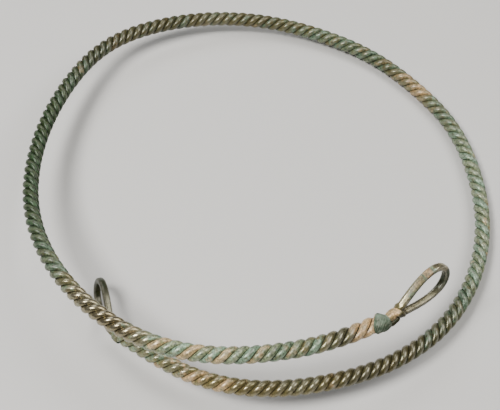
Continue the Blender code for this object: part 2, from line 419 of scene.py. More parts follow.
patina = {
    # noises: scale, detail, roughness and seed
    "strandPatches": (95.0, 1.5, 0.5, 3.0),
    "greenPatches": (130.0, 2.0, 0.55, 11.0),
    "drift": (60.0, 2.0, 0.5, 7.0),
    "mottle": (430.0, 3.0, 0.62, 13.0),
    "blotch": (560.0, 3.0, 0.62, 17.0),
    "speckle": (1100.0, 3.0, 0.62, 5.0),
    "grit": (1900.0, 2.0, 0.55, 19.0),
    # where a mask starts and where it is full; a longer one also has its shares there
    "orangeEdge": (0.82, 0.94),
    "greenEdge": (0.72, 0.94),
    "greyEdge": (0.36, 0.62),
    "goldEdge": (0.30, 0.48, 0.75, 0.0),
    "turquoiseEdge": (0.44, 0.58),
    "deepEdge": (0.34, 0.52, 0.85, 0.0),
    "salmonEdge": (0.40, 0.56),
    "polishEdge": (0.75, 1.0),
    "fleckEdge": (0.34, 0.66),
    "gritEdge": (0.36, 0.64),
    # shares
    "zoneWeight": 0.60,
    "raggedness": 0.75,
    "greenCover": 0.90,
    "orangeCover": 0.92,
    "orangeLostToGreen": 0.32,
    "polishLostToCrust": 0.85,
    "polishCover": 0.50,
    "fleckCover": (0.35, 0.45),      # on bare metal, and how much more on crust
    "bareLostToCrust": 0.70,
    "bareCover": (0.30, 0.70),       # unrubbed, and how much more where rubbed
    "roughness": 0.44,
    "roughnessLostToBare": 0.20,
    "roughnessOfSpeckle": 0.12,
    "roughnessOfPolish": 0.02,
    "metal": 0.08,
    "metalOfBare": 0.50,
    "metalOfPolish": 0.25,
    "shine": 0.90,
    "shineLostToDarkGreen": 0.55,
}


def makeZonesGroup(name, zones):
    # turns the place along a piece into four masks
    tree, start, end = newTree(name, "ShaderNodeTree", dict(place=0.0), dict(
        orange="Float", green="Float", rubbed="Float", dark="Float"))
    first, last = zones[0][0], zones[-1][0]
    ramp = newNode(tree, "ShaderNodeValToRGB", {0: (start.place - float(first)) / float(last - first)})
    stops = ramp.color_ramp.elements
    for position, *masks in zones[1:-1]:
        stops.new((position - first) / (last - first)).color = masks
    stops[0].color = zones[0][1:]
    stops[-1].color = zones[-1][1:]
    channels = newNode(tree, "ShaderNodeSeparateColor", {0: outOf(ramp)}).outputs
    for socket, channel in zip(end, (*channels, ramp.outputs["Alpha"])):
        plug(socket, Signal(channel))
    return tree


def makePatinaGroup():
    # the skin's colour, its metal share, its roughness and its shine, from the zone masks and the strand it lies on
    tree, start, end = newTree("patinaSkin", "ShaderNodeTree", dict(
        orange=0.3, green=0.5, rubbed=0.4, dark=0.0, orangeLean=0.0, blueLean=0.0, strand="Vector", place="Vector"),
        dict(color="Color", metal="Float", roughness="Float", shine="Float"))
    p = patina
    drift, mottle, blotch, speckle, grit = (noise(start.place, *p[name]) for name in (
        "drift", "mottle", "blotch", "speckle", "grit"))
    strandPatches = noise(start.strand, *p["strandPatches"]) + start.orangeLean * start.green
    greenPatches = noise(start.strand, *p["greenPatches"])

    def mask(zone, patches, mix, edge):
        return ramped(zone * p["zoneWeight"] + patches + (mix - 0.5) * p["raggedness"], *p[edge])

    orangeMask = mask(start.orange, strandPatches, mottle, "orangeEdge")
    greenMask = mask(start.green, greenPatches, blotch, "greenEdge")
    crust = maths("MAXIMUM", greenMask, orangeMask)
    base = blendColours(ramped(drift, *p["greyEdge"]), palette["bronze"], palette["greySkin"])
    base = blendColours(ramped(mottle, *p["goldEdge"]), base, palette["gold"])
    greens = blendColours(ramped(mottle + start.blueLean, *p["turquoiseEdge"]), palette["sage"], palette["turquoise"])
    greens = blendColours(ramped(speckle, *p["deepEdge"]), greens, palette["deepGreen"])
    oranges = blendColours(ramped(blotch, *p["salmonEdge"]), palette["tan"], palette["salmon"])
    colour = blendColours(greenMask * p["greenCover"], base, greens)
    # orange lies thinner where green grows
    thin = p["orangeCover"] - start.green * p["orangeLostToGreen"]
    colour = blendColours(orangeMask * thin, colour, oranges)
    polish = ramped(start.rubbed, *p["polishEdge"]) * (1.0 - crust * p["polishLostToCrust"])
    colour = blendColours(polish * p["polishCover"], colour, palette["polish"])
    flecks = crust * p["fleckCover"][1] + p["fleckCover"][0]
    for grains, name in ((speckle, "fleck"), (grit, "grit")):
        fleck = blendColours(ramped(grains, *p[name + "Edge"]), palette[name + "Dark"], palette[name + "Light"])
        colour = blendColours(flecks, colour, fleck, "MULTIPLY")
    # the dark share brightens or darkens the skin: partly the patina's own tone, partly painted shade and painted
    # light
    deep = blendColours(start.green, palette["deepBrownShade"], palette["deepGreenShade"])
    colour = blendColours(1.0, colour, blendColours(start.dark, palette["noShade"], deep), "MULTIPLY")
    bare = ((1.0 - crust * p["bareLostToCrust"]) * (start.rubbed * p["bareCover"][1] + p["bareCover"][0])).clamped()
    # dark green skin is duller than the rest
    give(end, color=colour,
         roughness=p["roughness"] - bare * p["roughnessLostToBare"] + (speckle - 0.5) * p["roughnessOfSpeckle"]
         + polish * p["roughnessOfPolish"],
         metal=(bare * p["metalOfBare"] + p["metal"] + polish * p["metalOfPolish"]).clamped(),
         shine=p["shine"] - start.dark * start.green * p["shineLostToDarkGreen"])
    return tree


wearing = {
    "edge": (700.0, 3.0, 0.6, 2.0),   # noise: scale, detail, roughness and seed
    "raggedness": 0.16,
    "fullyWorn": 1.03,
    "smoothing": 0.2,
    "roughening": 0.3,
}


def makeDarkAndSheenGroup():
    # darker where a surface lies deep, and the light rubbed colour where it stands proud: partly worn metal, partly a
    # painted highlight
    tree, start, end = newTree("deepDarkAndWornSheen", "ShaderNodeTree", dict(
        color=(0.5, 0.5, 0.5, 1.0), roughness=0.5, depth=1.0, dirtFrom=0.5, dirtTo=0.8, wearFrom=0.93, wear=0.3,
        place="Vector"), dict(color="Color", roughness="Float"))
    w = wearing
    ragged = start.depth + (noise(start.place, *w["edge"]) - 0.5) * w["raggedness"]
    deepDark = ramped(ragged, start.dirtFrom, start.dirtTo, 1.0, 0.0)
    # painted highlight in part: proud places take the light rubbed colour, partly worn metal
    wear = ramped(ragged, start.wearFrom, w["fullyWorn"]) * start.wear
    worn = blendColours(wear, start.color, palette["rubbed"])
    give(end, color=blendColours(deepDark, worn, palette["groove"]),
         roughness=start.roughness - wear * w["smoothing"] + deepDark * w["roughening"])
    return tree


relief = {
    "lines": (3200.0, 1.0, 0.5, 1.0),   # noises: scale, detail, roughness and seed
    "crust": (1500.0, 4.0, 0.62, 9.0),
    "stretch": (0.12, 1.0, 1.0),
    "pitScale": 1300.0,
    "pitEdge": (0.05, 0.30),
}


def makeSurfaceGroup():
    # the relief of old bronze: drawn lines along the wire, small pits and soft crust
    tree, start, end = newTree("oldSurface", "ShaderNodeTree", dict(
        along="Vector", place="Vector", lines=0.4, pits=0.6, crust=0.5), dict(height="Float"))
    lines = noise(start.along * relief["stretch"], *relief["lines"]) * start.lines
    cells = newNode(tree, "ShaderNodeTexVoronoi", {"Vector": start.place, "Scale": relief["pitScale"]})
    pits = ramped(outOf(cells, "Distance"), *relief["pitEdge"]) * start.pits
    crust = noise(start.place, *relief["crust"]) * start.crust
    give(end, height=lines + pits + crust)
    return tree


patinaGroup = makePatinaGroup()
darkAndSheenGroup = makeDarkAndSheenGroup()
surfaceGroup = makeSurfaceGroup()


def useGroup(tree, group, **values):
    return Outputs(newNode(tree, "ShaderNodeGroup", values, node_tree=group))


def newMaterial(name):
    material = bpy.data.materials.new(name)
    material.use_nodes = True
    tree = material.node_tree
    return material, tree, tree.nodes["Principled BSDF"].inputs


def attribute(tree, name, output="Fac"):
    return outOf(newNode(tree, "ShaderNodeAttribute", attribute_name=name), output)


def objectPlace(tree):
    return outOf(newNode(tree, "ShaderNodeTexCoord"), "Object")


def finishSkin(shader, settings, place, drawn, colour, roughness, depth, wear, metal, shine=None):
    # lays deep darkening, wear with a painted highlight in part, and relief over a skin, and plugs it all into the
    # shader
    worn = useGroup(place.tree, darkAndSheenGroup, color=colour, roughness=roughness, depth=depth, wear=wear, place=place,
                    **settings["deepDarkAndWornSheen"])
    surface = useGroup(place.tree, surfaceGroup, along=drawn, place=place, **settings["surface"])
    plug(shader["Base Color"], worn.color)
    plug(shader["Roughness"], worn.roughness)
    plug(shader["Metallic"], metal)
    if shine:
        plug(shader["Specular IOR Level"], shine)
    plug(shader["Normal"], outOf(newNode(place.tree, "ShaderNodeBump", {
        "Distance": settings["bump"], "Height": surface.height}), "Normal"))


# the three twisted wires

twistedWires = {
    "count": 3,
    "layRadius": 0.00168,      # rope's middle to a wire's middle
    "wireRadius": 0.00137,
    "slackSwell": 0.05,        # the wires look fuller where the twist is slack
    "contactGap": 0.00002,     # between two wires, where they press on each other
    "stationsPerTurn": 46,
    "inside": 0.0019,          # the wires run this far into the raised end's binding
    "trimmed": 0.0012,         # and this much further before they are cut square
    "orangeLeans": (-0.14, 0.24, -0.14),
    "blueLeans": (-0.08, 0.00, 0.14),
    "sides": 24,
    "wander": 0.00005,
    "unevenness": 0.07,
    "dents": 0.00009,
    "wanderNoise": (160.0, 2.0, 0.5),   # noises: scale, detail and roughness
    "swellNoise": (260.0, 2.0, 0.5),
    "dentNoise": (420.0, 3.0, 0.5),
    "pressed": 0.985,          # crests beyond this share of the rope are pressed flatter
    "pressing": 0.55,
    "deepDarkAndWornSheen": {"dirtFrom": 0.60, "dirtTo": 0.77, "wearFrom": 0.94},   # as shares of the rope's radius
    "wear": 0.35,
    "surface": {"lines": 0.45, "pits": 0.25, "crust": 0.55},
    "bump": 0.00004,
}


def wireBronze():
    w = twistedWires
    material, tree, shader = newMaterial("twisted_wire_bronze")
    place = objectPlace(tree)
    zones = useGroup(tree, makeZonesGroup("zonesAlongRope", ropeZones), place=attribute(tree, "turn"))
    skin = useGroup(tree, patinaGroup, orange=zones.orange, green=zones.green, rubbed=zones.rubbed, dark=zones.dark,
                    orangeLean=attribute(tree, "orangeLean"), blueLean=attribute(tree, "blueLean"),
                    strand=attribute(tree, "strand", "Vector"), place=place)
    finishSkin(shader, w, place, attribute(tree, "drawn", "Vector"), skin.color, skin.roughness,
               attribute(tree, "crest"), zones.rubbed * w["wear"], skin.metal, skin.shine)
    return material


def makeWireTree():
    w = twistedWires
    tree, start, end = newTree("twistedWire", "GeometryNodeTree", dict(
        geometry="Geometry", firstAngle=0.0, layRadius=0.0018, wireRadius=0.0012, ropeRadius=0.003, sides=24,
        slackSwell=0.0, slackLength=0.01, contactGap=0.0, wires=3, wander=0.0, unevenness=0.0, dents=0.0,
        pressed=1.0, pressing=0.5, length=0.6, inside=0.0, orangeLean=0.0, blueLean=0.0, seed=1.0,
        material="Material"), dict(geometry="Geometry"))
    place, tangent, normal = (given(tree, what) for what in ("Position", "Tangent", "Normal"))
    curve = through(through(start.geometry, "MeshToCurve"), "SetCurveNormal", mode="Z_UP")
    for name, value in (("ropeMiddle", place), ("ropeWay", tangent), ("ropeSide", normal)):
        curve = storeValue(curve, name, value)

    angle = start.firstAngle - readValue(tree, "twist")
    run = readValue(tree, "run")
    alongRun = combine(run, 0.0, 0.0)
    lay = (normal * maths("COSINE", angle) + cross(tangent, normal) * maths("SINE", angle)) * start.layRadius
    sway = combine(*(noise(alongRun, *w["wanderNoise"], start.seed + offset) - 0.5 for offset in (10.0, 20.0, 30.0)))
    curve = moveBy(curve, lay + sway * (start.wander * 2.0))

    slack = maths("POWER", maths("MAXIMUM", run, 0.0) / start.slackLength, 2.0)
    swell = (noise(alongRun, *w["swellNoise"], start.seed) - 0.5) * start.unevenness + 1.0
    swell = swell + maths("EXPONENT", slack * -1.0) * start.slackSwell
    curve = through(curve, "SetCurveRadius", {"Radius": start.wireRadius * swell})
    mesh = sweep(curve, storeValue(circle(tree, start.sides), "around", place))

    # a wire's own straightened space: its length run, and its way round
    x, y, _ = split(readVector(tree, "around") * start.wireRadius)
    mesh = storeValue(mesh, "drawn", combine(run, x + start.seed, y))
    mesh = storeValue(mesh, "strand", combine(run, start.seed, 0.0))
    mesh = roughen(mesh, noise(readVector(tree, "drawn"), *w["dentNoise"]) - 0.5, start.dents)

    # each point's reach from the rope's middle, its angle round the rope and its place along it
    middle, way, side = (readVector(tree, name) for name in ("ropeMiddle", "ropeWay", "ropeSide"))
    top = cross(way, side)
    away = place - middle
    ahead, across, upward = dot(away, way), dot(away, side), dot(away, top)
    reach = maths("SQRT", across * across + upward * upward)
    ownAngle = angle - ahead * (2 * math.pi) / readValue(tree, "pitch")
    beside = maths("WRAP", maths("ARCTAN2", upward, across) - ownAngle, math.pi, -math.pi)
    # neighbours press flat on each other, half a gap inside each wire's share of the rope
    limit = math.pi / start.wires - start.contactGap * 0.5 / reach
    beside = maths("MAXIMUM", maths("MINIMUM", beside, limit), limit * -1.0)
    # crests that stand proud of the rope's round are pressed back towards it
    reach = reach - maths("MAXIMUM", reach - start.ropeRadius * start.pressed, 0.0) * start.pressing
    newAngle = ownAngle + beside
    # the wires end square, where the bindings begin
    ahead = maths("MINIMUM", maths("MAXIMUM", ahead + run, start.inside * -1.0), start.length) - run
    settled = middle + way * ahead + side * (reach * maths("COSINE", newAngle)) + top * (
        reach * maths("SINE", newAngle))
    mesh = storeValue(mesh, "crest", reach / start.ropeRadius)
    mesh = storeValue(mesh, "orangeLean", start.orangeLean)
    mesh = storeValue(mesh, "blueLean", start.blueLean)
    finishTree(through(mesh, "SetPosition", {"Position": settled}), start.material, end)
    return tree


def twistWires(material):
    w = twistedWires
    tree = makeWireTree()
    points, values = ropeStations(w["stationsPerTurn"], w["inside"] + w["trimmed"], w["trimmed"], 1.0)
    points = points + np.array(shift)
    for number in range(w["count"]):
        wire = growMesh(f"bronze_wire_{number + 1}", lineObject("wire_line", points, values), tree, {
            **w, "firstAngle": math.radians(-90.0) + 2 * math.pi * number / w["count"],
            "ropeRadius": ropeRoute["ropeDiameter"] / 2, "slackLength": ropeRoute["slackLength"],
            "wires": w["count"], "length": float(values["run"][-1]) - w["trimmed"],
            "orangeLean": w["orangeLeans"][number], "blueLean": w["blueLeans"][number], "seed": 1.0 + number,
            "material": material})
        handOver(wire, f"twisted_wire_{number + 1}")


twistWires(wireBronze())


# the hammered end loops, and the wound bindings that hold them

# A loop has a foot inside its binding, a neck and an eye. Angles are in degrees: the neck bends in towards
# the ring's middle, the loop leans inwards at its top and droops towards its tip, and crossed is how far the
# two legs have turned round each other where they leave the binding. Zones go along the wire from the upper
# leg's foot: the place, and how orange, green, rubbed and dark it is.
endLoops = {
    "raised": {
        "turn": -28.0, "outward": -1, "foot": 0.0020, "binding": 0.0053, "neck": 0.0050, "length": 0.0229,
        "width": 0.0107, "bendAt": 0.0061, "bend": 4.2, "lean": 18.5, "droop": -16.5, "crossed": 200.0,
        "frontSize": 1.45, "upperSize": 1.15, "turned": 25.0, "seed": 3.0, "rise": 1.0,
        # painted shade and highlight: the dark share is partly the patina's own darkness and partly painted shade;
        # the rubbed tip with no dark share is partly a painted highlight
        "zones": ((0.0, 0.20, 0.30, 0.20, 0.76), (0.115, 0.10, 0.30, 0.30, 0.76), (0.13, 0.15, 0.05, 0.80, 0.26),
                  (0.21, 0.25, 0.15, 0.80, 0.34), (0.23, 0.55, 0.75, 0.40, 0.66), (0.32, 0.55, 0.80, 0.40, 0.62),
                  (0.335, 0.10, 0.50, 0.60, 0.56), (0.345, 0.95, 0.00, 0.15, 0.50),
                  (0.372, 0.95, 0.00, 0.15, 0.50), (0.385, 0.05, 0.75, 0.70, 0.50),
                  (0.41, 0.05, 0.20, 1.00, 0.00), (0.47, 0.05, 0.10, 1.00, 0.00), (0.50, 0.05, 0.50, 0.80, 0.92),
                  (0.59, 0.10, 0.40, 0.50, 1.00), (0.65, 0.10, 0.20, 0.80, 0.64),
                  (0.865, 0.10, 0.05, 0.95, 0.34), (0.88, 0.15, 0.10, 0.60, 0.60),
                  (0.893, 1.00, 0.00, 0.30, 0.12), (0.95, 1.00, 0.00, 0.30, 0.12), (1.0, 0.60, 0.30, 0.20, 0.20))},
    "low": {
        "turn": 396.0, "outward": 1, "foot": 0.0, "binding": 0.0026, "neck": 0.0026, "length": 0.0204,
        "width": 0.0112, "bendAt": 0.0034, "bend": 37.5, "lean": 21.5, "droop": 3.7, "crossed": 0.0,
        "frontSize": 1.0, "upperSize": 1.0, "turned": 0.0, "seed": 8.0, "rise": 0.0,
        # painted shade: this loop's dark share is partly the patina's own darkness and partly painted shade
        "zones": ((0.0, 0.20, 0.40, 0.40, 0.52), (0.2, 0.20, 0.15, 0.60, 0.52), (0.34, 0.15, 0.35, 0.50, 0.86),
                  (0.5, 0.20, 0.35, 0.10, 1.00), (0.66, 0.15, 0.35, 0.30, 1.00), (0.8, 0.15, 0.10, 0.80, 0.60),
                  (1.0, 0.30, 0.40, 0.40, 0.52))},
}
hammeredWire = {
    "thickness": 0.0022,
    "width": 0.0026,
    "rounding": 0.0008,
    "gap": 0.0003,
    "heldSize": 0.72,          # inside the binding, as a share
    "neckSize": 0.95,
    "stepOut": 0.0009,
    "bendRadius": 0.0045,
    "eyeShape": 1.3,
    "eyeSteps": 72,
    "footSteps": 36,
    "sides": 32,
    "cornerSteps": 6,
    "dents": 0.00007,
    "dentNoise": (480.0, 2.0, 0.5, 4.0),   # scale, detail, roughness and seed
    "uncrossFrom": 0.58,               # share of the neck from which the legs uncross
    "uncrossTo": 0.0017,               # this and the pairs below lie beyond the neck's end
    "turnedOver": (-0.001, 0.003),
    "recessedOver": (-0.001, 0.004),
    "upperGrowsOver": (-0.001, 0.001),
    "swellingEnds": (-0.0022, -0.0001),
    "swellingStarts": (-0.0012, -0.0002),   # beyond the binding
    "upperFades": 0.7,                 # shares of the eye from which a leg goes back to its own size
    "lowerFades": 0.5,
    "frontAside": 0.45,                # how the swelling moves each leg aside
    "behindAside": -0.15,
    "leeWay": (0.70, -0.59, -0.38),    # painted shade on the sides that face right, forward and down
    "leeEdge": (0.05, 0.75),
    "soil": 0.55,
    "soilDulls": 1.3,
    "depth": (0.86, 0.20, 0.10),       # on a face, how much more at a corner, and how much less in the neck
    "deepDarkAndWornSheen": {"dirtFrom": 0.58, "dirtTo": 0.76, "wearFrom": 0.93},
    "wear": 0.6,
    "surface": {"lines": 0.6, "pits": 0.25, "crust": 0.9},
    "bump": 0.00004,
}


def endFrame(loop):
    # the way out of the rope, the way across the legs and the way square to the loop, and where the rope ends
    nudge = ropeRoute["turnNudge"]
    before, middle, after = (Vector(point) for point in ropeMiddle([
        loop["turn"] - nudge, loop["turn"], loop["turn"] + nudge]))
    out = ((after - before) * loop["outward"]).normalized()
    inward = Vector((-middle.x, -middle.y, 0.0))
    inward = (inward - out * inward.dot(out)).normalized()
    side = inward.cross(out)
    lean = math.radians(loop["lean"]) * loop["outward"]
    across = side * math.cos(lean) + inward * math.sin(lean)
    square = inward * math.cos(lean) - side * math.sin(lean)
    return np.array([out, across, square]), np.array(middle + out * hammeredWire["gap"] + shift)


def placed(points, loop):
    # from a loop's own flat space to its place at the rope's end
    axes, origin = endFrame(loop)
    rise = 1 - eased(points[:, 0], 0.0, 0.95 * loop["binding"])
    return points @ axes + origin + loop["rise"] * np.outer(rise, ropeRoute["endRise"])


def loopPath(loop):
    # the wire drawn flat, from the upper leg's foot over the tip to the lower leg's foot
    h = hammeredWire
    foot, neckEnd = loop["binding"], loop["binding"] + loop["neck"]
    low = np.linspace(loop["foot"], neckEnd, h["footSteps"], endpoint=False)
    eyeAngle = np.linspace(0.0, math.pi, h["eyeSteps"])
    fullness = np.sin(eyeAngle) * np.sin(eyeAngle / 2) ** h["eyeShape"]
    lowSize = np.interp(low, [foot, foot + h["stepOut"]], [h["heldSize"], h["neckSize"]])
    eyeSize = np.interp(eyeAngle, [0.0, math.pi / 4], [h["neckSize"], 1.0])
    out = np.concatenate([low, neckEnd + loop["length"] * (1 - np.cos(eyeAngle)) / 2])
    size = np.concatenate([lowSize, eyeSize])
    apart = np.concatenate([(h["thickness"] * lowSize + h["gap"]) / 2,
                            (h["thickness"] * h["neckSize"] + h["gap"]) / 4 * (1 + np.cos(eyeAngle))
                            + loop["width"] / 2 * fullness / fullness.max()])

    def over(start, pair):
        return eased(out, start + h[pair][0], start + h[pair][1])

    crossed = math.radians(loop["crossed"]) * (
        1 - eased(out, foot + h["uncrossFrom"] * loop["neck"], neckEnd + h["uncrossTo"]))
    upperFade = eased(out, neckEnd + h["upperFades"] * loop["length"], out[-1])
    # beyond the neck, the flat of both legs is turned towards the loop's outer side
    turned = math.radians(loop["turned"]) * over(neckEnd, "turnedOver") * (1 - upperFade)
    # the leg that passes in front is swollen, from the binding to where the legs part
    front = (loop["frontSize"] - 1) * over(foot, "swellingStarts") * (1 - over(neckEnd, "swellingEnds"))
    recess = 1 - over(neckEnd, "recessedOver")
    aside = apart * (1 + h["frontAside"] * front)
    upper = np.stack([out, -aside * np.cos(crossed), aside * np.sin(crossed)], axis=1)
    aside = apart * (1 + h["behindAside"] * front)
    lower = np.stack([out, aside * np.cos(crossed), -aside * np.sin(crossed)], axis=1)[-2::-1]
    upperSize = 1 + (loop["upperSize"] - 1) * over(neckEnd, "upperGrowsOver")
    tipSize = (upperSize[-1] + 1) / 2
    lowerSize = (1 + front) * (1 + (tipSize - 1) * eased(out, neckEnd + h["lowerFades"] * loop["length"], out[-1]))
    upperSize = upperSize + (tipSize - upperSize[-1]) * upperFade
    points = np.vstack([upper, lower])
    length = np.concatenate([[0.0], np.cumsum(np.linalg.norm(np.diff(points, axis=0), axis=1))])
    return points, {"along": length / length[-1], "run": length,
                    "size": np.concatenate([size * upperSize, (size * lowerSize)[-2::-1]]),
                    "tilt": np.concatenate([turned - crossed, (crossed - turned)[-2::-1]]),
                    "recess": np.concatenate([recess, recess[-2::-1]])}


def makeLoopTree():
    tree, start, end = newTree("hammeredLoop", "GeometryNodeTree", dict(
        geometry="Geometry", thickness=0.002, width=0.002, rounding=0.0005, sides=32, cornerSteps=6, dents=0.0,
        seed=1.0, material="Material"), dict(geometry="Geometry"))
    curve = through(through(start.geometry, "MeshToCurve"), "SetCurveNormal", mode="Z_UP")
    curve = through(curve, "SetCurveTilt", {"Tilt": readValue(tree, "tilt")})
    curve = through(curve, "SetCurveRadius", {"Radius": readValue(tree, "size")})
    section = outOf(newNode(tree, "GeometryNodeCurvePrimitiveQuadrilateral", {
        "Width": start.thickness, "Height": start.width}))
    section = through(section, "FilletCurve", {"Count": start.cornerSteps, "Radius": start.rounding}, mode="POLY")
    section = through(section, "ResampleCurve", {"Count": start.sides})
    mesh = sweep(curve, storeValue(section, "around", given(tree, "Position")))
    x, y, _ = split(readVector(tree, "around"))
    run = readValue(tree, "run")
    mesh = storeValue(mesh, "drawn", combine(run, x + start.seed, y))
    mesh = storeValue(mesh, "strand", combine(run, x * 3.0 + start.seed, y * 3.0))
    # near 1 at the section's corners, which wear first, and near 0 in the middle of each face
    corner = maths("ABSOLUTE", x) / start.thickness * (maths("ABSOLUTE", y) / start.width)
    mesh = storeValue(mesh, "corner", corner * 4.0)
    dent = noise(readVector(tree, "drawn"), *hammeredWire["dentNoise"]) - 0.5
    finishTree(roughen(mesh, dent, start.dents), start.material, end)
    return tree


def bendNeck(points, loop):
    # bends a flat loop inwards beyond its binding, and lets it droop towards its tip
    bend = math.radians(loop["bend"])
    droop, lean = (math.radians(loop[key]) * loop["outward"] for key in ("droop", "lean"))
    arc = hammeredWire["bendRadius"] * math.hypot(bend, droop)
    reach = points[:, 0] - loop["bendAt"]
    share = np.clip(reach / arc, 0.0, 1.0)
    turned = bend * share
    beyond = np.maximum(reach - arc, 0.0)
    ahead = arc / bend * np.sin(turned) + beyond * np.cos(turned)
    aside = arc / bend * (1 - np.cos(turned)) + beyond * np.sin(turned)
    inwards = points[:, 1] * math.sin(lean) + points[:, 2] * math.cos(lean)
    edgewise = points[:, 2] * math.sin(lean) - points[:, 1] * math.cos(lean)
    x = ahead - inwards * np.sin(turned)
    away = aside + inwards * np.cos(turned)
    y = away * math.sin(lean) - edgewise * math.cos(lean)
    z = away * math.cos(lean) + edgewise * math.sin(lean)
    swing = -droop * share
    bent = np.stack([x * np.cos(swing) - y * np.sin(swing) + loop["bendAt"],
                     x * np.sin(swing) + y * np.cos(swing), z], axis=1)
    return np.where(reach[:, None] > 0, bent, points)


def loopBronze(end, loop):
    h = hammeredWire
    material, tree, shader = newMaterial(f"{end}_loop_bronze")
    place = objectPlace(tree)
    zones = useGroup(tree, makeZonesGroup(f"zonesAlong{end.title()}Loop", loop["zones"]),
                     place=attribute(tree, "along"))
    # painted shade: faces turned right, forward and down are darkened
    paintedShade = ramped(attribute(tree, "paintedShadeFacing"), *h["leeEdge"]) * h["soil"]
    skin = useGroup(tree, patinaGroup, orange=zones.orange, green=zones.green, rubbed=zones.rubbed,
                    dark=(zones.dark + paintedShade).clamped(), strand=attribute(tree, "strand", "Vector"), place=place)
    face, corner, recess = h["depth"]
    depth = attribute(tree, "corner") * corner + face - attribute(tree, "recess") * recess
    # painted shade: the shaded sides also shine less
    unshadedShare = 1.0 - paintedShade * h["soilDulls"]
    finishSkin(shader, h, place, attribute(tree, "drawn", "Vector"), skin.color, skin.roughness, depth,
               zones.rubbed * h["wear"], skin.metal * unshadedShare, skin.shine * unshadedShare)
    return material


def bendLoops():
    h = hammeredWire
    tree = makeLoopTree()
    for end, loop in endLoops.items():
        piece = growMesh(f"{end}_loop_of_wire", lineObject("loop_line", *loopPath(loop)), tree, {
            **h, "seed": loop["seed"], "material": loopBronze(end, loop)})
        flat = readPoints(piece.data)
        bent = bendNeck(flat, loop)
        writePoints(piece.data, placed(flat, loop) + (bent - flat) @ endFrame(loop)[0])
        normals = np.empty(len(flat) * 3, np.float32)
        piece.data.vertex_normals.foreach_get("vector", normals)
        # painted shade: how far each face turns right, forward and down
        setValues(piece.data, {"paintedShadeFacing": normals.reshape(-1, 3) @ np.array(h["leeWay"], np.float32)})
        handOver(piece, f"{end}_end_loop")


bendLoops()


windings = {
    # the rope-side edge lies aslant: it laps far onto the rope on one side, and starts later on the other
    # each end's last setting is the side given painted shade, as an angle round the binding
    "raised": {
        "startsAt": 0.00075, "aslant": 0.0043, "aslantAngle": -112.0, "shoulder": 0.0019, "startRadius": 0.00358,
        "endRadius": 0.00220, "turns": 12, "crumbs": 60, "seed": 5, "green": 0.9, "darkSide": -45.0},
    "low": {
        "startsAt": -0.0010, "aslant": 0.0004, "aslantAngle": 60.0, "shoulder": 0.0004, "startRadius": 0.00325,
        "endRadius": 0.00270, "turns": 6, "crumbs": 40, "seed": 6, "green": 0.4, "darkSide": 0.0},
}
windingWire = {
    "diameter": 0.00070,
    "sides": 8,
    "stepsPerTurn": 40,
    "leastLap": -0.6,          # the aslant edge is cut off here on its far side
    "taper": 1.3,
    "crust": 0.00005,
    "crustNoise": (1400.0, 3.0, 0.6, 1.0),   # noises: scale, detail, roughness and seed
    "crustMiddle": 0.45,
    "crumbSize": 0.00013,
    "crumbLeast": (0.5, 0.5, 0.3),
    "crumbMost": (1.5, 1.5, 0.9),
    "crumbsPerArea": 4000.0,
    "coreSides": 48,
    "coreSteps": 8,
    "coreDepth": 0.75,         # below the winding's crests, in diameters of its wire
    "slotPlay": 0.00006,
    "slotSquareness": 8,
    "endFace": 0.00002,        # this thin a layer at the end face counts as no deep groove
    "endFaceCrest": 0.97,
    "darkening": (0.4, 0.9),   # painted shade: at the rope, and how much more towards the loop
    "darkeningOver": (0.0010, 0.0032),
    "crustiness": (520.0, 4.0, 0.62, 21.0),
    "crustEdge": (0.36, 0.62),
    # painted shade turns the crust on the shaded side towards deep green
    "crustLostBelow": 0.30,
    "turnsEdge": (0.93, 0.985),
    "skin": {"orange": 0.1, "rubbed": 0.1, "dark": 0.0},
    "roughness": 0.78,
    "metal": 0.15,
    "deepDarkAndWornSheen": {"dirtFrom": 0.70, "dirtTo": 0.86, "wearFrom": 0.98},
    "wear": 0.35,
    "surface": {"lines": 0.0, "pits": 0.8, "crust": 1.0},
    "bump": 0.00010,
}


def bindingRadius(x, loop, winding):
    share = np.clip((x - winding["shoulder"]) / (loop["binding"] - winding["shoulder"]), 0.0, 1.0)
    return winding["startRadius"] + (winding["endRadius"] - winding["startRadius"]) * share ** windingWire["taper"]


def windingPath(loop, winding):
    # a fine wire wound round the core, from the rope out
    w = windingWire
    share = np.linspace(0.0, 1.0, winding["turns"] * w["stepsPerTurn"])
    angle = 2 * math.pi * winding["turns"] * share
    first, last = winding["startsAt"] + w["diameter"] / 2, loop["binding"] - w["diameter"] / 2
    x = first + (last - first) * share
    lap = np.maximum(np.cos(angle - math.radians(winding["aslantAngle"])), w["leastLap"])
    x = x - winding["aslant"] * lap * (1 - share)
    radius = bindingRadius(x, loop, winding) - w["diameter"] / 2
    return np.stack([x, radius * np.cos(angle), radius * np.sin(angle)], axis=1)


